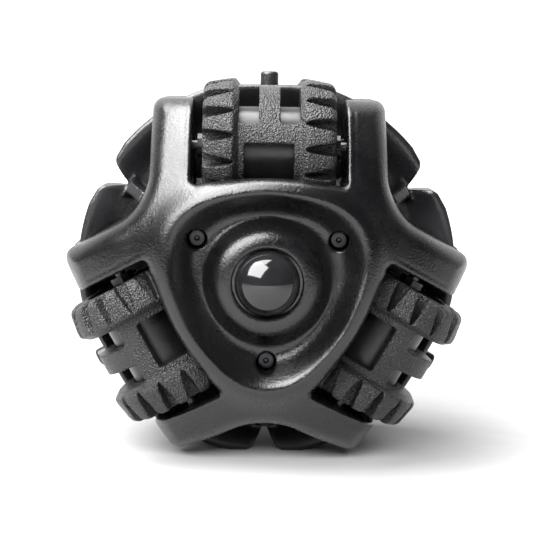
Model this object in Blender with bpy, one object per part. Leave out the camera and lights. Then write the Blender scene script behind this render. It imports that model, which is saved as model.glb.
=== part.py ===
"""A caged roller ball: six treaded rollers and two pole balls held between two moulded caps and a lobed body.

The main axis runs along Y at AXIS_HEIGHT over the flat chord that the object stands on. The front cap
faces -Y, and the rear cap is the front one turned half a turn about Z. "Depth" is the distance from the
middle plane Y = 0, and a roller's own frame has u along its axle, v out from the main axis and depth.
"""

import math

import bmesh
import bpy
from mathutils import Matrix, Vector

MM = 0.001

# Whole object
AXIS_HEIGHT = 58.2 * MM
ROLLER_ANGLES = (90.0, 210.0, 330.0)
CORNER_ANGLES = (30.0, 150.0, 270.0)
GAP = 0.3 * MM

# Rollers
ROLLER_RADIUS = 20.0 * MM
ROLLER_HALF_WIDTH = 19.8 * MM
ROLLER_OUT = 38.8 * MM
ROLLER_DEPTH = 25.5 * MM
BAND_RADIUS = 18.6 * MM
GROOVE_RADIUS = 14.6 * MM
BAND_HALF_WIDTH = 11.6 * MM
LUG_COUNT = 16
LUG_SHARE = 0.6
CORE_RADIUS = 12.0 * MM
CORE_END = ROLLER_HALF_WIDTH - 0.6 * MM
WINDOW_HALF_WIDTH = 7.35 * MM
PAIR_HALF_WIDTH = 9.1 * MM
BAR_HALF_WIDTH = 3.15 * MM
BAND_ARC = 19.0
PAIR_END = 66.0
AXLE_RADIUS = 1.6 * MM
AXLE_HALF_LENGTH = 28.6 * MM
WASHER_RADIUS = 3.8 * MM
WASHER_THICKNESS = 2.0 * MM

# Caps
CHEEK_INNER = 22.7 * MM
CHEEK_OUTER = 35.6 * MM
CHEEK_TIP = 53.0 * MM
CHEEK_TIP_ROUND = 3.5 * MM
SMALL_ROUND = 1.4 * MM
SADDLE_ROUND = 9.0 * MM
WINDOW_EDGE_MIDDLE = 30.4 * MM
WINDOW_EDGE_END = 27.8 * MM
WELL_RADIUS = ROLLER_RADIUS + 0.9 * MM
WELL_HALF_WIDTH = CHEEK_INNER + 0.3 * MM
CAP_BACK = 3.4 * MM
CAP_BACK_OUTER = 8.9 * MM
DOME_DEPTH = 52.0 * MM
DOME_REACH = 72.0 * MM
COLLAR_FOOT = 18.6 * MM
CREST_AT_ROLLER = 27.0 * MM
CREST_AT_CORNER = 33.4 * MM
CREST_RISE = 3.0 * MM
VALLEY_DEPTH = 42.0 * MM
COLLAR_TOP = 51.5 * MM
COLLAR_SHOULDER = 15.4 * MM
COLLAR_SIDE = 17.5 * MM
COLLAR_EASE = 4.0 * MM
COLLAR_DROP = 0.4 * MM
CAP_CORE = 8.0 * MM
CAP_CLEARANCE = 0.4 * MM
CAP_COLUMNS = 30
WELL_SEGMENTS = 26
DOME_ROWS = tuple(radius * MM for radius in (37.0, 44.0, 52.0, 60.0, 66.0))

# Pole balls
BALL_RADIUS = 9.6 * MM
BALL_DEPTH = 49.5 * MM
OPENING_RADIUS = 10.3 * MM
SEAT_RADIUS = 12.0 * MM
POCKET_SEGMENTS = 20
SEAT_FRONT = 45.9 * MM
SEAT_BACK = 35.7 * MM

# Screws
SCREW_CIRCLE = 24.2 * MM
SCREW_RADIUS = 1.5 * MM
HEAD_RADIUS = 2.65 * MM
HEAD_FRONT = 39.8 * MM
HEAD_BACK = 37.4 * MM
SCREW_TIP = 4.5 * MM
TIP_TAPER = 0.8 * MM
HEAD_CHAMFER = 0.6 * MM
SOCKET_RADIUS = 1.1 * MM
SOCKET_DEPTH = 1.2 * MM
BOSS_RADIUS = 4.4 * MM
BOSS_DEPTH = 14.0 * MM

# Lobed centre body
LOBE_RADIUS = 59.2 * MM
LOBE_FLAT = 57.2 * MM
REST_FLAT = AXIS_HEIGHT
REST_HALF_ANGLE = math.degrees(math.acos(REST_FLAT / LOBE_RADIUS))
LOBE_HALF_ANGLE = math.degrees(math.acos(LOBE_FLAT / LOBE_RADIUS))
WEB_DEPTH = 3.0 * MM
RIM_DEPTH = 8.5 * MM
DISH_INNER = 49.0 * MM
DISH_OUTER = 56.5 * MM
DISH_SEGMENTS = 42
# Keeps the dish's facet edges off the notch and boss lines.
DISH_START = 2.0
ARC_STEPS = 6
NOTCH_HALF_WIDTH = 3.6 * MM
NOTCH_BOTTOM = 50.8 * MM
NOTCH_TIP = 0.4 * MM
FIN_HALF_WIDTH = 1.9 * MM
FIN_INNER = 43.2 * MM
FIN_DEPTH = 19.0 * MM
FIN_LAND = 2.0 * MM
FIN_SINK = 0.6 * MM
FIN_FOOT_DEPTH = RIM_DEPTH - 2.0 * MM
POST_CLEARANCE = 0.4 * MM
BORE_FLOOR = WEB_DEPTH + 0.2 * MM
BOSS_SEGMENTS = 10
BORE_SEGMENTS = 8
PIN_RADIUS = 2.8 * MM
PIN_TOP = 61.4 * MM
PIN_BOTTOM = 51.5 * MM
PIN_CHAMFER = 0.6 * MM

# Sizes of cutters, past every surface that they cut
FAR_RADIUS = 66.0 * MM
FAR_DEPTH = 64.0 * MM
BODY_REACH = 20.0 * MM
THROUGH = 1.0 * MM

SHARP_ANGLE = math.radians(35)


def clear_scene():
    for obj in list(bpy.data.objects):
        bpy.data.objects.remove(obj)


def material(name, color, roughness, metallic=0.0):
    made = bpy.data.materials.new(name)
    made.use_nodes = True
    shader = made.node_tree.nodes["Principled BSDF"]
    shader.inputs["Base Color"].default_value = (*color, 1.0)
    shader.inputs["Roughness"].default_value = roughness
    shader.inputs["Metallic"].default_value = metallic
    return made


def mesh_of(name, points, faces):
    """A mesh whose faces all point out, from points in metres and lists of point numbers."""
    mesh = bpy.data.meshes.new(name)
    mesh.from_pydata(points, [], faces)
    built = bmesh.new()
    built.from_mesh(mesh)
    bmesh.ops.recalc_face_normals(built, faces=built.faces)
    built.to_mesh(mesh)
    built.free()
    return mesh


def add(name, mesh):
    obj = bpy.data.objects.new(name, mesh)
    bpy.context.scene.collection.objects.link(obj)
    return obj


def place(name, mesh, surface, parent, matrix=Matrix()):
    """One named piece with its material, at a place in its parent's frame."""
    if not mesh.materials:
        mesh.materials.append(surface)
        mesh.shade_smooth()
        mesh.set_sharp_from_angle(angle=SHARP_ANGLE)
    obj = add(name, mesh)
    obj.parent = parent
    obj.matrix_local = matrix
    return obj


def frame(name, parent=None, matrix=Matrix()):
    empty = bpy.data.objects.new(name, None)
    bpy.context.scene.collection.objects.link(empty)
    empty.parent = parent
    empty.matrix_local = matrix
    return empty


def boolean(mesh, cutter_mesh, operation):
    """The mesh after one exact Boolean with another."""
    target = add("target", mesh)
    cutter = add("cutter", cutter_mesh)
    step = target.modifiers.new("step", "BOOLEAN")
    step.operation = operation
    step.solver = "EXACT"
    step.object = cutter
    graph = bpy.context.evaluated_depsgraph_get()
    result = bpy.data.meshes.new_from_object(target.evaluated_get(graph))
    bpy.data.objects.remove(target)
    bpy.data.objects.remove(cutter)
    return result


def turned(profile, segments, start=0.0):
    """A closed profile of (radius, height) points, turned about Z. Points on the axis become one point."""
    points = []
    rings = []
    for radius, height in profile:
        if radius == 0.0:
            rings.append([len(points)] * segments)
            points.append((0.0, 0.0, height))
            continue
        rings.append(list(range(len(points), len(points) + segments)))
        for step in range(segments):
            points.append((*polar(radius, start + 360.0 * step / segments), height))
    faces = []
    for ring, following in zip(rings, rings[1:] + rings[:1]):
        for step in range(segments):
            after = (step + 1) % segments
            corners = [ring[step], ring[after], following[after], following[step]]
            corners = list(dict.fromkeys(corners))
            if len(corners) > 2:
                faces.append(corners)
    return mesh_of("turned", points, faces)


def cylinder(radius, low, high, segments):
    return turned([(0.0, high), (radius, high), (radius, low), (0.0, low)], segments)


def prism(outline, low, high):
    """An outline of (x, y) points, extruded along Z from low to high."""
    count = len(outline)
    points = [(x, y, low) for x, y in outline] + [(x, y, high) for x, y in outline]
    faces = [list(range(count)), list(range(count, 2 * count))]
    for step in range(count):
        after = (step + 1) % count
        faces.append([step, after, count + after, count + step])
    return mesh_of("prism", points, faces)


def box(low, high):
    outline = [(low[0], low[1]), (high[0], low[1]), (high[0], high[1]), (low[0], high[1])]
    return prism(outline, low[2], high[2])


def moved(mesh, matrix):
    """A copy of the mesh, moved."""
    copy = mesh.copy()
    copy.transform(matrix)
    return copy


def rounded(corners, steps=3):
    """An outline whose corners, given as (x, y, radius), are replaced by arcs."""
    outline = []
    for i, (x, y, radius) in enumerate(corners):
        here = Vector((x, y))
        if radius == 0.0:
            outline.append(here)
            continue
        back = (Vector(corners[i - 1][:2]) - here).normalized()
        ahead = (Vector(corners[(i + 1) % len(corners)][:2]) - here).normalized()
        half = back.angle(ahead) / 2
        centre = here + (back + ahead).normalized() * (radius / math.sin(half))
        start = here + back * (radius / math.tan(half)) - centre
        sweep = start.angle_signed(here + ahead * (radius / math.tan(half)) - centre)
        for step in range(steps + 1):
            turn = -sweep * step / steps
            outline.append(centre + Matrix.Rotation(turn, 2) @ start)
    return [(point.x, point.y) for point in outline]


def polar(radius, degrees):
    return radius * math.cos(math.radians(degrees)), radius * math.sin(math.radians(degrees))


# The cap, pin and screw frames below have local Z along the depth, so that turning about Z is turning about
# the main axis. FRONT stands such a frame up: local Z goes to -Y, and local Y to +Z.
FRONT = Matrix(((1, 0, 0, 0), (0, 0, -1, 0), (0, 1, 0, 0), (0, 0, 0, 1)))


def roller_frame(angle):
    """From a roller's own frame (u, v, depth) to the cap frame (x, y, depth)."""
    turn = Matrix.Rotation(math.radians(angle - 90.0), 4, "Z")
    return turn @ Matrix.Translation((0.0, ROLLER_OUT, ROLLER_DEPTH))


def along_u():
    """Turns a shape made about Z so that it lies along u."""
    return Matrix.Rotation(math.pi / 2, 4, "Y")


def dome(radius):
    """Depth of the cap's outer surface at a distance from the main axis."""
    return DOME_DEPTH * (1.0 - (radius / DOME_REACH) ** 2.6) ** 0.8


def crest(angle):
    """Distance of the hub's raised ridge from the main axis: a rounded triangle."""
    swing = (1.0 - math.cos(math.radians(3.0 * (angle - 90.0)))) / 2.0
    return CREST_AT_ROLLER + (CREST_AT_CORNER - CREST_AT_ROLLER) * swing**1.4


def cap_column(angle):
    """(radius, depth) down the cap's outer surface in one direction, from the pole outwards."""
    ridge = crest(angle)
    valley = ridge - COLLAR_FOOT
    column = [
        (CAP_CORE, COLLAR_TOP - COLLAR_DROP),
        (COLLAR_SHOULDER, COLLAR_TOP),
        (COLLAR_SIDE, COLLAR_TOP - COLLAR_EASE),
        (COLLAR_FOOT, VALLEY_DEPTH + COLLAR_DROP),
        (COLLAR_FOOT + 0.45 * valley, VALLEY_DEPTH),
        (COLLAR_FOOT + 0.8 * valley, dome(ridge) + 0.2 * CREST_RISE),
        (ridge, dome(ridge) + CREST_RISE),
    ]
    for radius in DOME_ROWS:
        column.append((radius, dome(radius)))
    return column


def cap_blank():
    """The cap before its outline is cut: a domed face over a stepped back that clears the body."""
    back = [
        (FAR_RADIUS, CAP_BACK_OUTER),
        (DISH_OUTER - CAP_CLEARANCE, CAP_BACK_OUTER),
        (DISH_INNER - CAP_CLEARANCE, CAP_BACK),
        (CAP_CORE, CAP_BACK),
    ]
    points = []
    for step in range(CAP_COLUMNS):
        angle = 360.0 * step / CAP_COLUMNS
        for radius, depth in cap_column(angle) + back:
            points.append((*polar(radius, angle), depth))
    rows = len(points) // CAP_COLUMNS
    faces = []
    for step in range(CAP_COLUMNS):
        here = step * rows
        after = (step + 1) % CAP_COLUMNS * rows
        for row in range(rows):
            below = (row + 1) % rows
            faces.append([here + row, after + row, after + below, here + below])
    return mesh_of("cap_blank", points, faces)


def cap_outline():
    """Six arms in three pairs, one pair on each side of each roller, joined round the hub."""
    sag = WINDOW_EDGE_MIDDLE - WINDOW_EDGE_END
    bow = (CHEEK_INNER**2 + sag**2) / (2 * sag)
    edge = []
    for share in (-0.7, -0.35, 0.0, 0.35, 0.7):
        u = share * CHEEK_INNER
        edge.append((u, WINDOW_EDGE_MIDDLE - bow + math.sqrt(bow**2 - u**2), 0.0))
    saddle = CHEEK_OUTER / math.cos(math.radians(30))
    third = [
        (*polar(saddle, 150.0), SADDLE_ROUND),
        (-CHEEK_OUTER, CHEEK_TIP, CHEEK_TIP_ROUND),
        (-CHEEK_INNER, CHEEK_TIP, SMALL_ROUND),
        (-CHEEK_INNER, WINDOW_EDGE_END, SMALL_ROUND),
        *edge,
        (CHEEK_INNER, WINDOW_EDGE_END, SMALL_ROUND),
        (CHEEK_INNER, CHEEK_TIP, SMALL_ROUND),
        (CHEEK_OUTER, CHEEK_TIP, CHEEK_TIP_ROUND),
    ]
    corners = []
    for turn in (0.0, -120.0, -240.0):
        for x, y, radius in third:
            point = Matrix.Rotation(math.radians(turn), 2) @ Vector((x, y))
            corners.append((point.x, point.y, radius))
    return rounded(corners)


def axle_slot():
    """The slot an axle drops into from behind, in the roller's frame: a bar across both arms."""
    half = AXLE_RADIUS + GAP
    outline = [(-half, -ROLLER_DEPTH)]
    for step in range(6):
        turn = math.pi * (1.0 - step / 5)
        outline.append((half * math.cos(turn), half * math.sin(turn)))
    outline.append((half, -ROLLER_DEPTH))
    reach = AXLE_HALF_LENGTH + 0.6 * MM
    # prism() extrudes along Z, so the outline's (v, depth) plane is turned to face u.
    turn = Matrix(((0, 0, 1, 0), (1, 0, 0, 0), (0, 1, 0, 0), (0, 0, 0, 1)))
    return moved(prism(outline, -reach, reach), turn)


def ball_pocket():
    """The round opening of the pole ball, and the wider bore for the seat behind it."""
    profile = [
        (0.0, FAR_DEPTH),
        (OPENING_RADIUS, FAR_DEPTH),
        (OPENING_RADIUS, SEAT_FRONT + GAP),
        (SEAT_RADIUS + GAP, SEAT_FRONT + GAP),
        (SEAT_RADIUS + GAP, 0.0),
        (0.0, 0.0),
    ]
    return turned(profile, POCKET_SEGMENTS)


def screw_hole():
    """Counterbore, clearance hole and, behind, the socket that fits over the body's boss."""
    head = HEAD_RADIUS + GAP
    shank = SCREW_RADIUS + GAP
    socket = BOSS_RADIUS + GAP
    profile = [
        (0.0, FAR_DEPTH),
        (head, FAR_DEPTH),
        (head, HEAD_BACK - GAP),
        (shank, HEAD_BACK - GAP),
        (shank, BOSS_DEPTH + GAP),
        (socket, BOSS_DEPTH + GAP),
        (socket, 0.0),
        (0.0, 0.0),
    ]
    return turned(profile, BOSS_SEGMENTS)


def cap_mesh():
    cap = boolean(cap_blank(), prism(cap_outline(), THROUGH, FAR_DEPTH), "INTERSECT")
    cap = boolean(cap, ball_pocket(), "DIFFERENCE")
    well = moved(cylinder(WELL_RADIUS, -WELL_HALF_WIDTH, WELL_HALF_WIDTH, WELL_SEGMENTS), along_u())
    for angle in ROLLER_ANGLES:
        cap = boolean(cap, moved(well, roller_frame(angle)), "DIFFERENCE")
        cap = boolean(cap, moved(axle_slot(), roller_frame(angle)), "DIFFERENCE")
    for angle in CORNER_ANGLES:
        offset = Matrix.Translation((*polar(SCREW_CIRCLE, angle), 0.0))
        cap = boolean(cap, moved(screw_hole(), offset), "DIFFERENCE")
    return cap


def lobe_outline():
    """A circle cut by six flats: three to stand on, at the corners, and three with the pins."""
    outline = []
    for corner in CORNER_ANGLES:
        lobe = corner + 60.0
        after = corner + 120.0
        arcs = (
            (corner + REST_HALF_ANGLE, lobe - LOBE_HALF_ANGLE),
            (lobe + LOBE_HALF_ANGLE, after - REST_HALF_ANGLE),
        )
        for start, end in arcs:
            for step in range(ARC_STEPS + 1):
                outline.append(polar(LOBE_RADIUS, start + (end - start) * step / ARC_STEPS))
    return outline


def notch_mesh():
    """The wedge between two lobes, pointing in along +X, with a blunt tip."""
    mouth = 2 * NOTCH_HALF_WIDTH
    wedge = [
        (NOTCH_BOTTOM, -NOTCH_TIP),
        (FAR_RADIUS, -mouth),
        (FAR_RADIUS, mouth),
        (NOTCH_BOTTOM, NOTCH_TIP),
    ]
    return prism(wedge, -BODY_REACH, BODY_REACH)


def fin_mesh():
    """The upright fin behind a notch, along +X, tapering from its inner edge down to the rim."""
    ridge = FIN_INNER + FIN_LAND
    foot = NOTCH_BOTTOM - FIN_SINK
    outline = [
        (FIN_INNER, -FIN_DEPTH),
        (ridge, -FIN_DEPTH),
        (foot, -FIN_FOOT_DEPTH),
        (foot, FIN_FOOT_DEPTH),
        (ridge, FIN_DEPTH),
        (FIN_INNER, FIN_DEPTH),
    ]
    upright = Matrix.Rotation(math.pi / 2, 4, "X")
    return moved(prism(outline, -FIN_HALF_WIDTH, FIN_HALF_WIDTH), upright)


def body_mesh():
    """Dished, lobed plate with fins, screw bosses and the posts that hold the axles in their slots."""
    dish = [
        (0.0, WEB_DEPTH),
        (DISH_INNER, WEB_DEPTH),
        (DISH_OUTER, RIM_DEPTH),
        (FAR_RADIUS, RIM_DEPTH),
        (FAR_RADIUS, -RIM_DEPTH),
        (DISH_OUTER, -RIM_DEPTH),
        (DISH_INNER, -WEB_DEPTH),
        (0.0, -WEB_DEPTH),
    ]
    outline = prism(lobe_outline(), -BODY_REACH, BODY_REACH)
    body = boolean(turned(dish, DISH_SEGMENTS, DISH_START), outline, "INTERSECT")
    bore = SCREW_RADIUS + GAP
    for angle in CORNER_ANGLES:
        turn = Matrix.Rotation(math.radians(angle), 4, "Z")
        body = boolean(body, moved(notch_mesh(), turn), "DIFFERENCE")
        body = boolean(body, moved(fin_mesh(), turn), "UNION")
        offset = Matrix.Translation((*polar(SCREW_CIRCLE, angle), 0.0))
        boss = cylinder(BOSS_RADIUS, -BOSS_DEPTH, BOSS_DEPTH, BOSS_SEGMENTS)
        body = boolean(body, moved(boss, offset), "UNION")
        far = BOSS_DEPTH + THROUGH
        for low, high in ((BORE_FLOOR, far), (-far, -BORE_FLOOR)):
            hole = cylinder(bore, low, high, BORE_SEGMENTS)
            body = boolean(body, moved(hole, offset), "DIFFERENCE")
    top = ROLLER_DEPTH - AXLE_RADIUS - GAP
    half = AXLE_RADIUS
    for angle in ROLLER_ANGLES:
        turn = Matrix.Rotation(math.radians(angle - 90.0), 4, "Z")
        for side in (-1, 1):
            ends = sorted((side * (CHEEK_INNER + POST_CLEARANCE), side * AXLE_HALF_LENGTH))
            low = (ends[0], ROLLER_OUT - half, -top)
            high = (ends[1], ROLLER_OUT + half, top)
            body = boolean(body, moved(box(low, high), turn), "UNION")
        socket = cylinder(PIN_RADIUS + GAP, PIN_BOTTOM - GAP, FAR_RADIUS, BOSS_SEGMENTS)
        radial = turn @ Matrix.Rotation(-math.pi / 2, 4, "X")
        body = boolean(body, moved(socket, radial), "DIFFERENCE")
    return body


def lug_ring(u, at_lug, at_groove, shift):
    """One ring of a toothed shoulder, at one place along the axle, with three points to each lug."""
    pitch = 360.0 / LUG_COUNT
    ring = []
    for lug in range(LUG_COUNT):
        start = (lug + shift) * pitch
        for share, radius in ((0.0, at_lug), (LUG_SHARE, at_lug), ((1.0 + LUG_SHARE) / 2, at_groove)):
            x, y = polar(radius, start + share * pitch)
            ring.append((u, x, y))
    return ring


def tyre_mesh():
    """A ring with lugs on both shoulders, staggered by half a lug, and windows through its middle band.

    Angles turn from v, straight out from the main axis, towards the cap's face."""
    stations = []
    for side, shift in ((-1, 0.0), (1, 0.5)):
        rings = [
            lug_ring(side * ROLLER_HALF_WIDTH, ROLLER_RADIUS, GROOVE_RADIUS, shift),
            lug_ring(side * BAND_HALF_WIDTH, BAND_RADIUS, BAND_RADIUS, shift),
        ]
        stations += rings if side < 0 else rings[::-1]
    # The two shoulders are staggered, so the second one's rings start a point later.
    stations[2:] = [ring[-1:] + ring[:-1] for ring in stations[2:]]
    points = [point for ring in stations for point in ring]
    count = 3 * LUG_COUNT
    faces = [list(range(count)), list(range(3 * count, 4 * count))]
    for row in range(3):
        for step in range(count):
            after = (step + 1) % count
            here, below = row * count, (row + 1) * count
            faces.append([here + step, here + after, below + after, below + step])
    tyre = mesh_of("tyre", points, faces)
    reach = ROLLER_HALF_WIDTH + MM
    bore = moved(cylinder(CORE_RADIUS + GAP, -reach, reach, 20), along_u())
    tyre = boolean(tyre, bore, "DIFFERENCE")
    single = 180.0 - BAND_ARC
    for low, high, start in (
        (-WINDOW_HALF_WIDTH, WINDOW_HALF_WIDTH, PAIR_END + BAND_ARC),
        (-PAIR_HALF_WIDTH, -BAR_HALF_WIDTH, PAIR_END - single),
        (BAR_HALF_WIDTH, PAIR_HALF_WIDTH, PAIR_END - single),
    ):
        tyre = boolean(tyre, window_cutter(low, high, start, start + single), "DIFFERENCE")
    return tyre


def window_cutter(low, high, start, end):
    """A sector of a thick ring, from u = low to high."""
    steps = 7
    inner = CORE_RADIUS - THROUGH
    outer = ROLLER_RADIUS + THROUGH
    turns = [start + (end - start) * step / steps for step in range(steps + 1)]
    outline = [polar(outer, turn) for turn in turns] + [polar(inner, turn) for turn in reversed(turns)]
    turn = Matrix(((0, 0, 1, 0), (1, 0, 0, 0), (0, 1, 0, 0), (0, 0, 0, 1)))
    return moved(prism(outline, low, high), turn)


def core_mesh():
    """The roller's smooth core: a thick tube on the axle."""
    bore = AXLE_RADIUS + GAP
    profile = [
        (bore, CORE_END),
        (CORE_RADIUS, CORE_END),
        (CORE_RADIUS, -CORE_END),
        (bore, -CORE_END),
    ]
    return moved(turned(profile, 16), along_u())


def axle_mesh():
    return moved(cylinder(AXLE_RADIUS, -AXLE_HALF_LENGTH, AXLE_HALF_LENGTH, 10), along_u())


def washer_mesh():
    half = WASHER_THICKNESS / 2
    bore = AXLE_RADIUS + GAP
    profile = [(bore, half), (WASHER_RADIUS, half), (WASHER_RADIUS, -half), (bore, -half)]
    return moved(turned(profile, 10), along_u())


def ball_mesh():
    steps = 10
    profile = [(0.0, BALL_RADIUS)]
    for step in range(1, steps):
        turn = math.pi * step / steps
        profile.append((BALL_RADIUS * math.sin(turn), BALL_RADIUS * math.cos(turn)))
    profile.append((0.0, -BALL_RADIUS))
    return turned(profile, POCKET_SEGMENTS)


def seat_mesh():
    """A cup behind the pole ball, whose hollow follows the ball."""
    hollow = BALL_RADIUS + GAP
    lip = BALL_DEPTH - SEAT_FRONT
    profile = [
        (math.sqrt(hollow**2 - lip**2), SEAT_FRONT),
        (SEAT_RADIUS, SEAT_FRONT),
        (SEAT_RADIUS, SEAT_BACK),
        (0.0, SEAT_BACK),
    ]
    start = math.degrees(math.asin(lip / hollow))
    steps = 4
    for step in range(steps, 0, -1):
        turn = math.radians(start + (90.0 - start) * step / steps)
        radius = 0.0 if step == steps else hollow * math.cos(turn)
        profile.append((radius, BALL_DEPTH - hollow * math.sin(turn)))
    return turned(profile, 14)


def screw_mesh():
    """A pan-head screw with a round socket in its head, along the depth."""
    profile = [
        (0.0, HEAD_FRONT - SOCKET_DEPTH),
        (SOCKET_RADIUS, HEAD_FRONT - SOCKET_DEPTH),
        (SOCKET_RADIUS, HEAD_FRONT),
        (HEAD_RADIUS - HEAD_CHAMFER, HEAD_FRONT),
        (HEAD_RADIUS, HEAD_FRONT - HEAD_CHAMFER),
        (HEAD_RADIUS, HEAD_BACK),
        (SCREW_RADIUS, HEAD_BACK),
        (SCREW_RADIUS, SCREW_TIP + TIP_TAPER),
        (0.0, SCREW_TIP),
    ]
    return turned(profile, 10)


def pin_mesh():
    """A round-shouldered pin pressed into the middle of a lobe, along the radius."""
    profile = [
        (0.0, PIN_TOP),
        (PIN_RADIUS - PIN_CHAMFER, PIN_TOP),
        (PIN_RADIUS, PIN_TOP - PIN_CHAMFER),
        (PIN_RADIUS, PIN_BOTTOM),
        (0.0, PIN_BOTTOM),
    ]
    return turned(profile, 12)


def build_half(half, side, meshes, surfaces):
    """One cap with its three rollers, pole ball, seat and screws, in the half's own frame."""
    place(f"{side}_cap", meshes["cap"], surfaces["cap"], half)
    ball = frame(f"{side}_ball_axis", half, Matrix.Translation((0.0, 0.0, BALL_DEPTH)))
    place(f"{side}_pole_ball", meshes["ball"], surfaces["ball"], ball)
    place(f"{side}_ball_seat", meshes["seat"], surfaces["seat"], half)
    for number, angle in enumerate(ROLLER_ANGLES, 1):
        axis = frame(f"{side}_roller_{number}_axis", half, roller_frame(angle))
        place(f"{side}_tyre_{number}", meshes["tyre"], surfaces["tyre"], axis)
        place(f"{side}_roller_core_{number}", meshes["core"], surfaces["core"], axis)
        place(f"{side}_axle_{number}", meshes["axle"], surfaces["steel"], axis)
        offset = CORE_END + GAP + WASHER_THICKNESS / 2
        for letter, u in (("a", -offset), ("b", offset)):
            here = Matrix.Translation((u, 0.0, 0.0))
            place(f"{side}_washer_{number}{letter}", meshes["washer"], surfaces["steel"], axis, here)
    for number, angle in enumerate(CORNER_ANGLES, 1):
        here = Matrix.Translation((*polar(SCREW_CIRCLE, angle), 0.0))
        place(f"{side}_cap_screw_{number}", meshes["screw"], surfaces["screw"], half, here)


def main():
    clear_scene()
    surfaces = {
        "cap": material("satin_black_moulding", (0.016, 0.016, 0.017), 0.38),
        "body": material("dull_black_moulding", (0.012, 0.012, 0.013), 0.5),
        "tyre": material("grained_black_rubber", (0.018, 0.018, 0.018), 0.6),
        "core": material("smooth_black_core", (0.012, 0.012, 0.013), 0.3),
        "ball": material("gloss_black_ball", (0.008, 0.008, 0.009), 0.06),
        "seat": material("grey_slide_plastic", (0.12, 0.12, 0.12), 0.4),
        "steel": material("bright_steel", (0.55, 0.55, 0.56), 0.25, 1.0),
        "screw": material("black_oxide_steel", (0.05, 0.05, 0.052), 0.35, 1.0),
    }
    meshes = {
        "cap": cap_mesh(),
        "ball": ball_mesh(),
        "seat": seat_mesh(),
        "tyre": tyre_mesh(),
        "core": core_mesh(),
        "axle": axle_mesh(),
        "washer": washer_mesh(),
        "screw": screw_mesh(),
    }
    main_axis = frame("main_axis", None, Matrix.Translation((0.0, 0.0, AXIS_HEIGHT)))
    front = frame("front_half", main_axis, FRONT)
    rear = frame("rear_half", main_axis, Matrix.Rotation(math.pi, 4, "Z") @ FRONT)
    place("lobed_body", body_mesh(), surfaces["body"], front)
    for number, angle in enumerate(ROLLER_ANGLES, 1):
        turn = Matrix.Rotation(math.radians(angle - 90.0), 4, "Z")
        radial = turn @ Matrix.Rotation(-math.pi / 2, 4, "X")
        place(f"lobe_pin_{number}", pin_mesh(), surfaces["body"], front, radial)
    build_half(front, "front", meshes, surfaces)
    build_half(rear, "rear", meshes, surfaces)


main()
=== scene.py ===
"""The looks of a caged roller ball: two moulded caps, six treaded rollers, two pole balls and a lobed body.

Shapes are in millimetres in a half's own frame, where z is the depth out from the middle plane, and each smooth
piece is the zero surface of a distance field. half_frame places them in the shared frame, in metres.
"""

import math

import bpy
import numpy as np
from mathutils import Matrix, Vector


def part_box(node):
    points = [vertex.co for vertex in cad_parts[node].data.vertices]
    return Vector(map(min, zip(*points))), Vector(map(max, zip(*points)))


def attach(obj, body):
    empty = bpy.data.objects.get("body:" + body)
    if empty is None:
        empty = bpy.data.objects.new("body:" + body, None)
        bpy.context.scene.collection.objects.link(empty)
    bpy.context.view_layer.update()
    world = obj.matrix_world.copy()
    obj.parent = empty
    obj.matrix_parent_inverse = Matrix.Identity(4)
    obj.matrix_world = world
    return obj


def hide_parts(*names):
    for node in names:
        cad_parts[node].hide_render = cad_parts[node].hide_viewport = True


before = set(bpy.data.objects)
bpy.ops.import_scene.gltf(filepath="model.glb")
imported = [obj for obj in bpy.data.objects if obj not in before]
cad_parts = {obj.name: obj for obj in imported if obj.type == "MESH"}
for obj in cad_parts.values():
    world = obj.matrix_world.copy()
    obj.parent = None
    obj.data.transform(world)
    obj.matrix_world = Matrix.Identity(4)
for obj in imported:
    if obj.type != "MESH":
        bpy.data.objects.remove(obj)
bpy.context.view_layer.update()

MM = 0.001
ROLLERS = {1: 90.0, 2: 210.0, 3: 330.0}
SCREWS = {1: 30.0, 2: 150.0, 3: 270.0}

# Where the pieces are, from the frame
ROLLER_LOW, ROLLER_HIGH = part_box("front_tyre_1")
BALL_LOW, BALL_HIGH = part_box("front_pole_ball")
AXIS_HEIGHT = (BALL_LOW.z + BALL_HIGH.z) / 2
ROLLER_OUT = ((ROLLER_LOW.z + ROLLER_HIGH.z) / 2 - AXIS_HEIGHT) / MM
ROLLER_DEPTH = -(ROLLER_LOW.y + ROLLER_HIGH.y) / 2 / MM
BALL_DEPTH = -(BALL_LOW.y + BALL_HIGH.y) / 2 / MM
BALL_RADIUS = (BALL_HIGH.x - BALL_LOW.x) / 2 / MM
TO_METRES = Matrix.Diagonal((MM, MM, MM, 1.0))
STAND_UP = Matrix(((1, 0, 0, 0), (0, 0, -1, 0), (0, 1, 0, 0), (0, 0, 0, 1)))
HALVES = ("front", "rear")


# ---------------------------------------------------------------- distance fields

def round_and(a, b, radius):
    """The overlap of two fields, with a rounded edge where they meet."""
    outer = np.hypot(np.maximum(a + radius, 0.0), np.maximum(b + radius, 0.0))
    return np.minimum(np.maximum(a, b), -radius) + outer


def round_or(a, b, radius):
    """The union of two fields, with a fillet where they meet."""
    return -round_and(-a, -b, radius)


def ramp(value, start, end):
    """0 at start, 1 at end, smooth at both."""
    share = np.clip((value - start) / (end - start), 0.0, 1.0)
    return share * share * (3.0 - 2.0 * share)


def turned_plane(x, y, degrees):
    """(along the tangent, along the radius) of a direction round the main axis."""
    turn = math.radians(degrees)
    return x * math.sin(turn) - y * math.cos(turn), x * math.cos(turn) + y * math.sin(turn)


EDGES = [(a, a | 1 << bit) for bit in range(3) for a in range(8) if not a & 1 << bit]
CORNERS = np.array([[n & 1, n >> 1 & 1, n >> 2 & 1] for n in range(8)])


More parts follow.
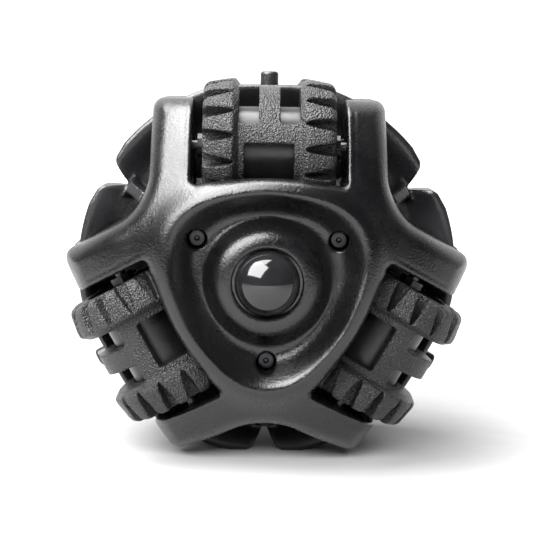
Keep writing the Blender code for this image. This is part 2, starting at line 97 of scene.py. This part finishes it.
def net_points(values, cells, count):
    """Where the surface crosses each cell: the middle of its crossed edges."""
    places = cells[:, None, :] + CORNERS[None]
    corner = values[places[..., 0], places[..., 1], places[..., 2]]
    total = np.zeros((count, 3))
    hits = np.zeros(count)
    for a, b in EDGES:
        start, end = corner[:, a], corner[:, b]
        crossed = (start < 0) != (end < 0)
        share = np.where(crossed, start / np.where(crossed, start - end, 1.0), 0.0)
        total += crossed[:, None] * (CORNERS[a] + share[:, None] * (CORNERS[b] - CORNERS[a]))
        hits += crossed
    return cells + total / hits[:, None]


def net_faces(inside, index):
    """One quad round each grid edge that the surface crosses."""
    faces = []
    for axis in range(3):
        step = np.eye(3, dtype=int)[axis]
        side_a, side_b = np.eye(3, dtype=int)[(axis + 1) % 3], np.eye(3, dtype=int)[(axis + 2) % 3]
        start = inside[tuple(slice(None, -1) if n == axis else slice(None) for n in range(3))]
        end = inside[tuple(slice(1, None) if n == axis else slice(None) for n in range(3))]
        for first, second, order in ((start, end, (0, 1, 2, 3)), (end, start, (3, 2, 1, 0))):
            at = np.argwhere(first & ~second)
            around = [at - side_a - side_b, at - side_b, at, at - side_a]
            faces.append(np.stack([index[tuple(around[n].T)] for n in order], axis=1))
    return np.concatenate(faces)


def onto_surface(field, points, reach, steps=3):
    """Moves the points along the field's slope until they lie on its surface."""
    small = 0.05
    for _ in range(steps):
        value = field(*points.T)
        slope = np.empty_like(points)
        for axis in range(3):
            ahead, behind = points.copy(), points.copy()
            ahead[:, axis] += small
            behind[:, axis] -= small
            slope[:, axis] = (field(*ahead.T) - field(*behind.T)) / (2 * small)
        size = np.maximum((slope**2).sum(1), 0.2)
        move = -slope * (value / size)[:, None]
        length = np.maximum(np.linalg.norm(move, axis=1), 1e-9)
        points = points + move * np.minimum(1.0, reach / length)[:, None]
    return points


def surface_mesh(name, field, low, high, cell):
    """The field's zero surface inside a box, as a mesh of quads."""
    axes = [np.arange(a, b + cell, cell) for a, b in zip(low, high)]
    values = field(*np.meshgrid(*axes, indexing="ij", sparse=True))
    inside = values < 0
    count = sum(
        inside[i : i - 1 or None, j : j - 1 or None, k : k - 1 or None].astype(np.int8)
        for i in (0, 1) for j in (0, 1) for k in (0, 1)
    )
    mixed = (count > 0) & (count < 8)
    cells = np.argwhere(mixed)
    index = np.zeros(mixed.shape, int)
    index[mixed] = np.arange(len(cells))
    points = net_points(values, cells, len(cells)) * cell + np.array(low)
    points = onto_surface(field, points, 0.5 * cell)
    faces = net_faces(inside, index)
    mesh = bpy.data.meshes.new(name)
    mesh.vertices.add(len(points))
    mesh.vertices.foreach_set("co", points.ravel())
    mesh.loops.add(faces.size)
    mesh.loops.foreach_set("vertex_index", faces.ravel())
    mesh.polygons.add(len(faces))
    mesh.polygons.foreach_set("loop_start", np.arange(0, faces.size, 4))
    mesh.polygons.foreach_set("loop_total", np.full(len(faces), 4))
    mesh.update(calc_edges=True)
    mesh.validate()
    mesh.shade_smooth()
    return mesh


# ---------------------------------------------------------------- caps

ARM_INNER, ARM_OUTER, ARM_TIP = 22.7, 35.6, 53.0
ARM_ROUND = 3.5
OPENING_RADIUS = 10.3
SEAT_FRONT = 45.9
HUB_EDGE_MIDDLE, HUB_EDGE_END = 30.4, 27.8
COLLAR_FOOT, COLLAR_TOP, VALLEY_DEPTH = 18.6, 51.5, 41.4
DOME_TOP, DOME_SPREAD = 52.0, 72.0
RIDGE_INNER, RIDGE_SWING, RIDGE_RISE, RIDGE_WIDTH = 27.2, 5.2, 4.2, 5.2
WELL_RADIUS, WELL_GAP = 20.9, 0.3
SLOT_RADIUS, SLOT_END = 1.9, 29.2
SEAT_HOLE_RADIUS, SEAT_GAP = 12.3, 0.3

# The screws and the body's bosses under them
SCREW_CIRCLE = 24.2
HEAD_HOLE_RADIUS, HEAD_HOLE_FLOOR = 3.0, 37.1
SHANK_HOLE_RADIUS = 1.8
BOSS_HOLE_RADIUS, BOSS_HOLE_TOP = 4.7, 14.3
BOSS_RADIUS, BOSS_TOP, BOSS_HOLE_START = 4.4, 14.0, 3.2


def dome(radius):
    return DOME_TOP * (1.0 - np.minimum(radius / DOME_SPREAD, 0.999) ** 2.6) ** 0.8


def face_depth(x, y):
    """Depth of the cap's outer face: dome, hub ridge, valley and collar."""
    radius = np.hypot(x, y)
    swing = (1.0 - np.cos(3.0 * (np.arctan2(y, x) - math.pi / 2))) / 2.0
    ridge = RIDGE_INNER + RIDGE_SWING * swing**1.4
    top = dome(radius) + RIDGE_RISE * np.exp(-(((radius - ridge) / RIDGE_WIDTH) ** 2))
    share = (radius - COLLAR_FOOT) / (ridge - COLLAR_FOOT)
    inner = VALLEY_DEPTH + (top - VALLEY_DEPTH) * ramp(share, 0.0, 0.98)
    return np.where(radius > ridge, top, inner)


def collar_field(radius, z):
    """The plateau round the pole ball: a flat top, a convex shoulder and a steep side."""
    side = (radius - 15.2 + (z - COLLAR_TOP) * 0.3) * 0.96
    return round_and(side, z - COLLAR_TOP, 4.2)


def arms_field(x, y):
    """Outline of the six arms and the hub, before the roller windows."""
    bars = []
    for angle in ROLLERS.values():
        u, v = turned_plane(x, y, angle)
        along = np.abs(v - ARM_TIP / 2) - ARM_TIP / 2
        bars.append(round_and(np.abs(u) - ARM_OUTER, along, ARM_ROUND))
    return round_or(round_or(bars[0], bars[1], 9.0), bars[2], 9.0)


def window_field(u, v):
    """One roller's window, open outwards: straight sides and a bowed hub edge."""
    sag = HUB_EDGE_MIDDLE - HUB_EDGE_END
    bow = (ARM_INNER**2 + sag**2) / (2 * sag)
    edge = HUB_EDGE_MIDDLE - bow + np.sqrt(bow**2 - np.minimum(np.abs(u), bow) ** 2 * 0.999)
    return round_and(np.abs(u) - ARM_INNER, edge - v, 1.8)


def mould_line(aside, above, v):
    """How far a shallow groove beside a roller's window moves the arm's face in."""
    near_face = ramp(above, -6.0, -1.5) * ramp(v, 27.0, 33.0)
    return 0.16 * near_face * np.exp(-((aside / 0.42) ** 2))


def cap_field(x, y, z):
    radius = np.hypot(x, y)
    small = 0.05
    depth = face_depth(x, y)
    slope_x = (face_depth(x + small, y) - depth) / small
    slope_y = (face_depth(x, y + small) - depth) / small
    face = (z - depth) / np.sqrt(1.0 + slope_x**2 + slope_y**2)
    face = round_or(face, collar_field(radius, z), 7.0)
    solid = round_and(face, arms_field(x, y), 5.0)
    back = 3.4 + 5.5 * np.clip((radius - 48.6) / 7.5, 0.0, 1.0)
    solid = round_and(solid, (back - z) * 0.85, 0.8)
    for angle in ROLLERS.values():
        u, v = turned_plane(x, y, angle)
        solid = round_and(solid, -window_field(u, v), 1.6)
        across = np.hypot(v - ROLLER_OUT, z - ROLLER_DEPTH)
        well = np.maximum(across - WELL_RADIUS, np.abs(u) - ARM_INNER - WELL_GAP)
        solid = round_and(solid, -well, 0.6)
        solid = solid + mould_line(np.abs(u) - ARM_INNER - 2.6, z - depth, v)
        slot = np.where(z > ROLLER_DEPTH, across, np.abs(v - ROLLER_OUT)) - SLOT_RADIUS
        solid = np.maximum(solid, -np.maximum(slot, np.abs(u) - SLOT_END))
    for angle in SCREWS.values():
        across, out = turned_plane(x, y, angle)
        off = np.hypot(across, out - SCREW_CIRCLE)
        solid = round_and(solid, -np.maximum(off - HEAD_HOLE_RADIUS, HEAD_HOLE_FLOOR - z), 0.35)
        solid = np.maximum(solid, -np.maximum(off - BOSS_HOLE_RADIUS, z - BOSS_HOLE_TOP))
        solid = np.maximum(solid, SHANK_HOLE_RADIUS - off)
    solid = round_and(solid, OPENING_RADIUS - radius, 0.6)
    return np.maximum(solid, -np.maximum(radius - SEAT_HOLE_RADIUS, z - SEAT_FRONT - SEAT_GAP))


# ---------------------------------------------------------------- tyres

LUG_COUNT = 16
TYRE_HALF_WIDTH = 19.8
TYRE_BORE = 12.3
GROOVE_START, GROOVE_RUN, GROOVE_TOP, GROOVE_DROP = 10.6, 8.6, 18.2, 4.2
SINGLE_WINDOW_TURN, PAIR_WINDOW_TURN, WINDOW_HALF_TURN = 165.5, 14.5, 80.5


def tyre_field(u, v, z):
    """A lugged ring round u, in the roller's own frame. Angles turn from v towards the cap's face."""
    around = np.degrees(np.arctan2(z, v))
    radius = np.hypot(v, z)
    out = np.abs(u)
    crown = 18.1 + 2.2 * ramp(out, 8.8, 11.2) - 0.17 * np.maximum(out - 12.5, 0.0)
    ring = round_and(radius - crown, out - TYRE_HALF_WIDTH, 2.2)
    pitch = 360.0 / LUG_COUNT
    phase = around / pitch + np.where(u > 0, 0.5, 0.0)
    from_groove = np.abs(phase - np.floor(phase) - 0.5) * np.radians(pitch) * radius
    opening = np.clip((out - GROOVE_START) / GROOVE_RUN, 0.0, 1.15)
    floor = GROOVE_TOP - GROOVE_DROP * np.sqrt(opening)
    flank = from_groove - (0.1 + 1.7 * opening**0.6) - 0.04 * (radius - floor)
    groove = round_and(flank * 0.95, floor - radius, 1.1)
    groove = np.maximum(groove, GROOVE_START - out)
    tyre = round_and(ring, -groove, 0.35)
    tyre = np.maximum(tyre, TYRE_BORE - radius)
    single = np.abs((around - SINGLE_WINDOW_TURN + 180.0) % 360.0 - 180.0) - WINDOW_HALF_TURN
    single = round_and(out - 7.35, np.radians(single) * radius, 0.8)
    pair = np.abs((around + PAIR_WINDOW_TURN + 180.0) % 360.0 - 180.0) - WINDOW_HALF_TURN
    pair = round_and(np.abs(out - 6.125) - 2.975, np.radians(pair) * radius, 1.3)
    return round_and(tyre, -np.minimum(single, pair), 0.25)


# ---------------------------------------------------------------- lobed body

LOBE_RADIUS, LOBE_FLAT = 59.2, 57.2
NOTCH_FLOOR = 50.8
FIN_INNER, FIN_OUTER = 43.2, 50.2
POST_MIDDLE, POST_HALF_WIDTH, POST_HALF_DEPTH, POST_TOP = 25.85, 2.75, 1.6, 23.6
PIN_HOLE_RADIUS, PIN_HOLE_FLOOR = 3.1, 51.2


def body_field(x, y, z):
    """Dished plate with a circle of three lobes, notches and fins between them, and the axles' posts."""
    radius = np.hypot(x, y)
    half = np.abs(z)
    outline = radius - LOBE_RADIUS
    for angle in ROLLERS.values():
        outline = round_and(outline, turned_plane(x, y, angle)[1] - LOBE_FLAT, 2.0)
    for angle in SCREWS.values():
        outline = np.maximum(outline, turned_plane(x, y, angle)[1] - AXIS_HEIGHT / MM)
    thick = 3.0 + 5.5 * ramp(radius, 47.5, 57.5)
    plate = round_and(outline, half - thick, 1.5)
    for angle in SCREWS.values():
        across, out = turned_plane(x, y, angle)
        past_floor = np.maximum(out - NOTCH_FLOOR, 0.0)
        mouth = 0.5 + 0.43 * past_floor + 0.02 * past_floor**2
        notch = round_and((np.abs(across) - mouth) * 0.9, NOTCH_FLOOR - out, 0.45)
        plate = round_and(plate, -notch, 1.4)
        slant = (half - (19.0 - 1.9 * np.maximum(out - 45.2, 0.0))) * 0.5
        width = 1.7 + 2.2 * ramp(out, 46.0, 51.0) * ramp(half, 12.0, 3.0)
        sides = np.maximum(np.abs(across) - width, FIN_INNER - out)
        fin = np.maximum(sides, np.maximum(slant, out - FIN_OUTER))
        plate = round_or(plate, fin, 1.6)
        off = np.hypot(across, out - SCREW_CIRCLE)
        hole = np.maximum(off - SHANK_HOLE_RADIUS, BOSS_HOLE_START - half)
        boss = np.maximum(np.maximum(off - BOSS_RADIUS, half - BOSS_TOP), -hole)
        plate = np.minimum(plate, boss)
    for angle in ROLLERS.values():
        u, v = turned_plane(x, y, angle)
        aside = np.abs(np.abs(u) - POST_MIDDLE) - POST_HALF_WIDTH
        post = np.maximum(aside, np.abs(v - ROLLER_OUT) - POST_HALF_DEPTH)
        plate = np.minimum(plate, np.maximum(post, half - POST_TOP))
        socket = np.maximum(np.hypot(u, z) - PIN_HOLE_RADIUS, PIN_HOLE_FLOOR - v)
        plate = np.maximum(plate, -socket)
    return plate


# ---------------------------------------------------------------- turned pieces

def eased(profile, steps=4):
    """A profile of (radius, height, ease) whose corners are replaced by arcs of that ease."""
    out = []
    for i, (x, y, ease) in enumerate(profile):
        here = Vector((x, y))
        if ease == 0.0:
            out.append((x, y))
            continue
        back = (Vector(profile[i - 1][:2]) - here).normalized()
        ahead = (Vector(profile[(i + 1) % len(profile)][:2]) - here).normalized()
        start, end = here + back * ease, here + ahead * ease
        for step in range(steps + 1):
            t = step / steps
            point = start * (1 - t) ** 2 + here * 2 * t * (1 - t) + end * t**2
            out.append((point.x, point.y))
    return out


def turned_mesh(name, profile, segments, axis="z"):
    """A profile of (radius, height), open where it starts and ends on the axis, turned about z or u."""
    points, rings = [], []
    for radius, height in profile:
        if radius < 1e-6:
            rings.append([len(points)] * segments)
            points.append((0.0, 0.0, height))
            continue
        rings.append(list(range(len(points), len(points) + segments)))
        for step in range(segments):
            turn = 2 * math.pi * step / segments
            points.append((radius * math.cos(turn), radius * math.sin(turn), height))
    faces = []
    closed = profile[0][0] > 1e-6
    for ring, following in zip(rings, rings[1:] + rings[:1] if closed else rings[1:]):
        for step in range(segments):
            after = (step + 1) % segments
            corners = list(dict.fromkeys([ring[step], following[step], following[after], ring[after]]))
            if len(corners) > 2:
                faces.append(corners)
    if axis == "u":
        points = [(z, x, y) for x, y, z in points]
    mesh = bpy.data.meshes.new(name)
    mesh.from_pydata(points, [], faces)
    mesh.shade_smooth()
    mesh.set_sharp_from_angle(angle=math.radians(40))
    return mesh


def ball_mesh():
    steps = 64
    profile = [
        (BALL_RADIUS * math.sin(math.pi * step / steps), BALL_RADIUS * math.cos(math.pi * step / steps))
        for step in range(steps + 1)
    ]
    return turned_mesh("pole_ball", profile, 96)


def screw_mesh():
    """Button head with a round socket, and the plain shank under it."""
    return turned_mesh("cap_screw", eased([
        (0.0, 39.2, 0.0), (0.55, 39.2, 0.15), (0.8, 39.75, 0.1), (2.3, 39.75, 0.2), (2.75, 39.4, 0.15),
        (2.75, 37.4, 0.1), (1.5, 37.4, 0.0), (1.5, 5.3, 0.0), (0.9, 4.5, 0.0), (0.0, 4.5, 0.0),
    ]), 48)


def pin_mesh():
    return turned_mesh("lobe_pin", eased([
        (0.0, 61.4, 0.0), (2.2, 61.4, 0.4), (2.8, 60.8, 0.4), (2.8, 51.5, 0.0), (0.0, 51.5, 0.0),
    ]), 48)


def core_mesh():
    """Smooth thick tube with a shallow moulded step near each end."""
    return turned_mesh("roller_core", eased([
        (1.9, 19.2, 0.0), (11.4, 19.2, 0.3), (12.0, 18.6, 0.3),
        (12.0, -18.6, 0.3), (11.4, -19.2, 0.3), (1.9, -19.2, 0.0),
    ]), 96, "u")


# ---------------------------------------------------------------- materials

class Nodes:
    """Short hand for one material's node tree."""

    def __init__(self, name):
        self.made = bpy.data.materials.new(name)
        self.made.use_nodes = True
        self.tree = self.made.node_tree
        self.shader = self.tree.nodes["Principled BSDF"]
        self.place = self.add("ShaderNodeTexCoord").outputs["Object"]

    def add(self, kind, **values):
        node = self.tree.nodes.new(kind)
        for key, value in values.items():
            setattr(node, key, value)
        return node

    def link(self, out, into):
        self.tree.links.new(out, into)

    def noise(self, scale, detail=2.0, rough=0.5):
        node = self.add("ShaderNodeTexNoise")
        self.link(self.place, node.inputs["Vector"])
        node.inputs["Scale"].default_value = scale
        node.inputs["Detail"].default_value = detail
        node.inputs["Roughness"].default_value = rough
        return node.outputs["Fac"]

    def cells(self, scale, feature="SMOOTH_F1"):
        node = self.add("ShaderNodeTexVoronoi", feature=feature)
        self.link(self.place, node.inputs["Vector"])
        node.inputs["Scale"].default_value = scale
        return node.outputs["Distance"]

    def ranged(self, value, low, high, start=0.3, end=0.7):
        node = self.add("ShaderNodeMapRange")
        self.link(value, node.inputs["Value"])
        for key, number in (("From Min", start), ("From Max", end), ("To Min", low), ("To Max", high)):
            node.inputs[key].default_value = number
        return node.outputs["Result"]

    def mixed(self, value, dark, light):
        node = self.add("ShaderNodeMix", data_type="RGBA")
        self.link(value, node.inputs["Factor"])
        node.inputs[6].default_value = (*dark, 1.0)
        node.inputs[7].default_value = (*light, 1.0)
        return node.outputs[2]

    def sum(self, a, b, share):
        """a + share * b"""
        node = self.add("ShaderNodeMath", operation="MULTIPLY_ADD")
        self.link(b, node.inputs[0])
        node.inputs[1].default_value = share
        self.link(a, node.inputs[2])
        return node.outputs[0]

    def bump(self, height, distance, strength=1.0, under=None):
        node = self.add("ShaderNodeBump")
        node.inputs["Strength"].default_value = strength
        node.inputs["Distance"].default_value = distance
        self.link(height, node.inputs["Height"])
        if under is not None:
            self.link(under, node.inputs["Normal"])
        return node.outputs["Normal"]

    def finish(self, color, roughness, normal, specular=0.5, metallic=0.0):
        self.link(color, self.shader.inputs["Base Color"])
        self.link(roughness, self.shader.inputs["Roughness"])
        if normal is not None:
            self.link(normal, self.shader.inputs["Normal"])
        self.shader.inputs["Specular IOR Level"].default_value = specular
        self.shader.inputs["Metallic"].default_value = metallic
        return self.made


def grained_moulding(name, tone, rough, grain, depth):
    """Black moulded plastic with a fine pebble grain and slow changes in gloss."""
    n = Nodes(name)
    pebbles = n.sum(n.noise(grain, 3.0, 0.6), n.cells(grain * 0.8), 0.5)
    slow = n.noise(60.0, 3.0)
    dust = n.noise(420.0, 4.0, 0.65)
    worn = n.ranged(n.sum(slow, dust, 0.5), 0.0, 1.0, 0.5, 1.0)
    color = n.mixed(worn, tuple(0.75 * t for t in tone), tuple(1.3 * t for t in tone))
    roughness = n.ranged(n.sum(slow, dust, 0.6), rough - 0.06, rough + 0.08, 0.6, 1.0)
    wave = n.bump(n.noise(140.0, 2.0), 0.00012, 0.6)
    return n.finish(color, roughness, n.bump(pebbles, depth, 0.8, wave), specular=0.6)


def spark_grain(name):
    """Black rubber with the coarse, sparkling grain of a spark-eroded mould."""
    n = Nodes(name)
    coarse = n.noise(1500.0, 3.0, 0.65)
    craters = n.cells(1900.0, "F1")
    height = n.sum(coarse, craters, 0.7)
    slow = n.noise(110.0, 3.0)
    color = n.mixed(n.ranged(slow, 0.0, 1.0), (0.0015, 0.0015, 0.0015), (0.004, 0.004, 0.0043))
    roughness = n.ranged(n.sum(slow, coarse, 0.7), 0.24, 0.4, 0.6, 1.1)
    return n.finish(color, roughness, n.bump(height, 0.0005, 1.0), specular=0.6)


def smooth_plastic(name, tone, rough):
    """Smooth dark plastic with faint turning marks and handling marks."""
    n = Nodes(name)
    marks = n.noise(260.0, 5.0, 0.6)
    color = n.mixed(n.ranged(marks, 0.0, 1.0), tuple(0.8 * t for t in tone), tuple(1.25 * t for t in tone))
    gloss = n.ranged(marks, rough - 0.05, rough + 0.08)
    return n.finish(color, gloss, n.bump(n.noise(900.0, 2.0), 0.00003, 0.5))


def gloss_ball(name):
    """Polished black ball with hair-fine rubbing marks that only show in its gloss."""
    n = Nodes(name)
    haze = n.noise(180.0, 5.0, 0.7)
    color = n.mixed(n.ranged(haze, 0.0, 1.0), (0.004, 0.004, 0.004), (0.007, 0.007, 0.008))
    rubbed = n.bump(n.noise(2500.0, 2.0), 0.000002, 0.3)
    return n.finish(color, n.ranged(haze, 0.07, 0.13), rubbed, specular=0.6)


def metal(name, tone, rough):
    """Turned metal: fine marks round the axle or head and slightly uneven gloss."""
    n = Nodes(name)
    marks = n.noise(700.0, 4.0, 0.6)
    color = n.mixed(n.ranged(marks, 0.0, 1.0), tuple(0.8 * t for t in tone), tone)
    gloss = n.ranged(marks, rough - 0.05, rough + 0.1)
    return n.finish(color, gloss, n.bump(marks, 0.00002, 0.5), metallic=1.0)


# ---------------------------------------------------------------- pieces

def put(name, mesh, surface, matrix, body, nodes):
    """One piece in place of its CAD node, riding on its body. The matrix is rigid: it comes after millimetres."""
    if not mesh.materials:
        mesh.transform(TO_METRES)
        mesh.materials.append(surface)
    piece = bpy.data.objects.new(name, mesh)
    bpy.context.scene.collection.objects.link(piece)
    piece.matrix_world = matrix
    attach(piece, body)
    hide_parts(*nodes)
    return piece


def metres(matrix):
    """A rigid matrix in millimetres with its shift in metres."""
    out = matrix.copy()
    out.translation = out.translation * MM
    return out


def roller_frame(angle):
    turn = Matrix.Rotation(math.radians(angle - 90.0), 4, "Z")
    return turn @ Matrix.Translation((0.0, ROLLER_OUT, ROLLER_DEPTH))


def screw_frame(angle):
    turn = math.radians(angle)
    return Matrix.Translation((SCREW_CIRCLE * math.cos(turn), SCREW_CIRCLE * math.sin(turn), 0.0))


def half_frame(side):
    turn = Matrix.Rotation(math.pi if side == "rear" else 0.0, 4, "Z")
    return Matrix.Translation((0.0, 0.0, AXIS_HEIGHT)) @ turn @ STAND_UP


def build_pieces():
    cap = surface_mesh("cap", cap_field, (-64, -64, 1), (64, 64, 55), 0.6)
    tyre = surface_mesh("tyre", tyre_field, (-21.5, -21.5, -21.5), (21.5, 21.5, 21.5), 0.4)
    body = surface_mesh("body", body_field, (-62, -62, -25.5), (62, 62, 25.5), 0.6)
    ball, screw, pin, core = ball_mesh(), screw_mesh(), pin_mesh(), core_mesh()
    cap_black = grained_moulding("satin_black_moulding", (0.0018, 0.0018, 0.002), 0.26, 1700.0, 0.00014)
    body_black = grained_moulding("dull_black_moulding", (0.005, 0.005, 0.0055), 0.32, 1500.0, 0.00012)
    rubber = spark_grain("grained_black_rubber")
    core_black = smooth_plastic("smooth_black_core", (0.003, 0.003, 0.0033), 0.3)
    ball_black = gloss_ball("gloss_black_ball")
    oxide = metal("black_oxide_steel", (0.06, 0.06, 0.065), 0.35)
    put("centre_body", body, body_black, half_frame("front"), "cage", ["lobed_body"])
    for number, angle in ROLLERS.items():
        round_axis = Matrix.Rotation(math.radians(angle - 90.0), 4, "Z")
        radial = round_axis @ Matrix.Rotation(-math.pi / 2, 4, "X")
        place = half_frame("front") @ radial
        put(f"pin_{number}", pin, body_black, place, "cage", [f"lobe_pin_{number}"])
    for side in HALVES:
        half = half_frame(side)
        put(f"{side}_cage_cap", cap, cap_black, half, "cage", [f"{side}_cap"])
        middle = metres(Matrix.Translation((0.0, 0.0, BALL_DEPTH)))
        put(f"{side}_ball", ball, ball_black, half @ middle, f"{side}_ball", [f"{side}_pole_ball"])
        for number, angle in ROLLERS.items():
            place = half @ metres(roller_frame(angle))
            rider = f"{side}_roller_{number}"
            put(f"{side}_lugged_tyre_{number}", tyre, rubber, place, rider,
                [f"{side}_tyre_{number}"])
            put(f"{side}_core_{number}", core, core_black, place, rider,
                [f"{side}_roller_core_{number}"])
        for number, angle in SCREWS.items():
            place = half @ metres(screw_frame(angle))
            put(f"{side}_screw_{number}", screw, oxide, place, "cage",
                [f"{side}_cap_screw_{number}"])


def finish_cad_nodes():
    """The axles, washers and seats keep their CAD shapes and get their materials."""
    steel = metal("bright_steel", (0.12, 0.12, 0.125), 0.45)
    spacer = metal("shaded_steel", (0.07, 0.07, 0.075), 0.4)
    slide = smooth_plastic("grey_slide_plastic", (0.12, 0.12, 0.12), 0.4)
    for name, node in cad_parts.items():
        for word, surface in (("axle", steel), ("washer", spacer), ("seat", slide)):
            if word in name:
                for number in range(max(1, len(node.material_slots))):
                    node.material_slots[number].material = surface


# ---------------------------------------------------------------- stage, lights and camera

CAMERA_DISTANCE = 0.570
CAMERA_ELEVATION = 6.2
CAMERA_AZIMUTH = -0.4
CAMERA_ROLL = 0.9
CAMERA_LENS = 120.5
AIM = Vector((0.0003, 0.0, AXIS_HEIGHT - 0.0007))

FLOOR_RADII = (0.4, 1.2, 4.0)
FLOOR_SEGMENTS = 64
# The far paper glows, most behind the object, so it meets the background with no line.
GLOW_START, GLOW_END, FAR_GLOW = 0.12, 0.4, 1.0
RIM_START, RIM_END = 0.5, 1.0

# Name: distance in metres, direction, size in metres, watts
LIGHT_BOXES = {
    "overhead_box": (0.75, (-0.22, 0.16, 0.96), (0.5, 0.6), 13.0),
    "key_box": (0.8, (-0.52, -0.40, 0.75), (0.8, 0.7), 29.0),
    "fill_box": (1.0, (0.0, -0.9, 0.42), (0.8, 0.3), 42.0),
}
SKY_START, SKY_END, SKY_FRONT, SKY_BACK = 0.3, 0.95, 0.02, 1.3
BACKGROUND_WHITE = 1.1


def build_stage():
    count = FLOOR_SEGMENTS
    turns = [2 * math.pi * step / count for step in range(count)]
    points = [(0.0, 0.0, 0.0)]
    for radius in FLOOR_RADII:
        points += [(radius * math.cos(turn), radius * math.sin(turn), 0.0) for turn in turns]
    faces = [[0, 1 + step, 1 + (step + 1) % count] for step in range(count)]
    for row in range(len(FLOOR_RADII) - 1):
        for step in range(count):
            here, after = 1 + count * row + step, 1 + count * row + (step + 1) % count
            faces.append([here, here + count, after + count, after])
    mesh = bpy.data.meshes.new("floor")
    mesh.from_pydata(points, [], faces)
    floor = bpy.data.objects.new("floor", mesh)
    bpy.context.scene.collection.objects.link(floor)
    n = Nodes("pale_paper")
    tone = n.mixed(n.noise(25.0, 3.0), (0.25, 0.25, 0.25), (0.28, 0.28, 0.28))
    split = n.add("ShaderNodeSeparateXYZ")
    n.link(n.place, split.inputs[0])
    behind = n.ranged(split.outputs["Y"], 0.0, FAR_GLOW, GLOW_START, GLOW_END)
    distance = n.add("ShaderNodeVectorMath", operation="LENGTH")
    n.link(n.place, distance.inputs[0])
    around = n.ranged(distance.outputs["Value"], 0.0, FAR_GLOW, RIM_START, RIM_END)
    glow = n.sum(behind, around, 0.6)
    n.link(glow, n.shader.inputs["Emission Strength"])
    n.shader.inputs["Emission Color"].default_value = (1.0, 1.0, 1.0, 1.0)
    mesh.materials.append(n.finish(tone, n.ranged(n.noise(90.0), 0.75, 0.9), None, specular=0.2))


def area_light(name, place, size, energy, target):
    data = bpy.data.lights.new(name, "AREA")
    data.shape = "RECTANGLE"
    data.size, data.size_y = size
    data.energy = energy
    light = bpy.data.objects.new(name, data)
    bpy.context.scene.collection.objects.link(light)
    light.location = place
    light.rotation_euler = (Vector(target) - Vector(place)).to_track_quat("-Z", "Y").to_euler()
    return light


def build_lights():
    middle = Vector((0.0, 0.0, AXIS_HEIGHT))
    for name, (distance, direction, size, watts) in LIGHT_BOXES.items():
        light = area_light(name, middle + distance * Vector(direction), size, watts, middle)
        light.visible_glossy = name != "fill_box"
    world = bpy.data.worlds.new("studio")
    bpy.context.scene.world = world
    world.use_nodes = True
    tree = world.node_tree
    sky = tree.nodes["Background"]
    coordinates = tree.nodes.new("ShaderNodeTexCoord")
    split = tree.nodes.new("ShaderNodeSeparateXYZ")
    tree.links.new(coordinates.outputs["Generated"], split.inputs[0])
    back = tree.nodes.new("ShaderNodeMapRange")
    back.interpolation_type = "SMOOTHSTEP"
    tree.links.new(split.outputs["Y"], back.inputs["Value"])
    ends = {"From Min": SKY_START, "From Max": SKY_END, "To Min": SKY_FRONT, "To Max": SKY_BACK}
    for key, number in ends.items():
        back.inputs[key].default_value = number
    seen = tree.nodes.new("ShaderNodeLightPath")
    white = tree.nodes.new("ShaderNodeMath")
    white.operation = "MAXIMUM"
    tree.links.new(back.outputs[0], white.inputs[0])
    lift = tree.nodes.new("ShaderNodeMath")
    lift.operation = "MULTIPLY"
    lift.inputs[1].default_value = BACKGROUND_WHITE
    tree.links.new(seen.outputs["Is Camera Ray"], lift.inputs[0])
    tree.links.new(lift.outputs[0], white.inputs[1])
    sky.inputs["Color"].default_value = (1.0, 1.0, 1.0, 1.0)
    tree.links.new(white.outputs[0], sky.inputs["Strength"])


def build_camera():
    data = bpy.data.cameras.new("camera")
    data.lens = CAMERA_LENS
    data.sensor_width = 36.0
    camera = bpy.data.objects.new("camera", data)
    bpy.context.scene.collection.objects.link(camera)
    turn, rise = math.radians(CAMERA_AZIMUTH), math.radians(CAMERA_ELEVATION)
    back = Vector((math.sin(turn) * math.cos(rise), -math.cos(turn) * math.cos(rise), math.sin(rise)))
    look = (-back).to_track_quat("-Z", "Y").to_matrix().to_4x4()
    roll = Matrix.Rotation(math.radians(CAMERA_ROLL), 4, "Z")
    camera.matrix_world = Matrix.Translation(AIM + back * CAMERA_DISTANCE) @ look @ roll
    bpy.context.scene.camera = camera


build_pieces()
finish_cad_nodes()
build_stage()
build_lights()
build_camera()
bpy.context.scene.view_settings.view_transform = "Standard"
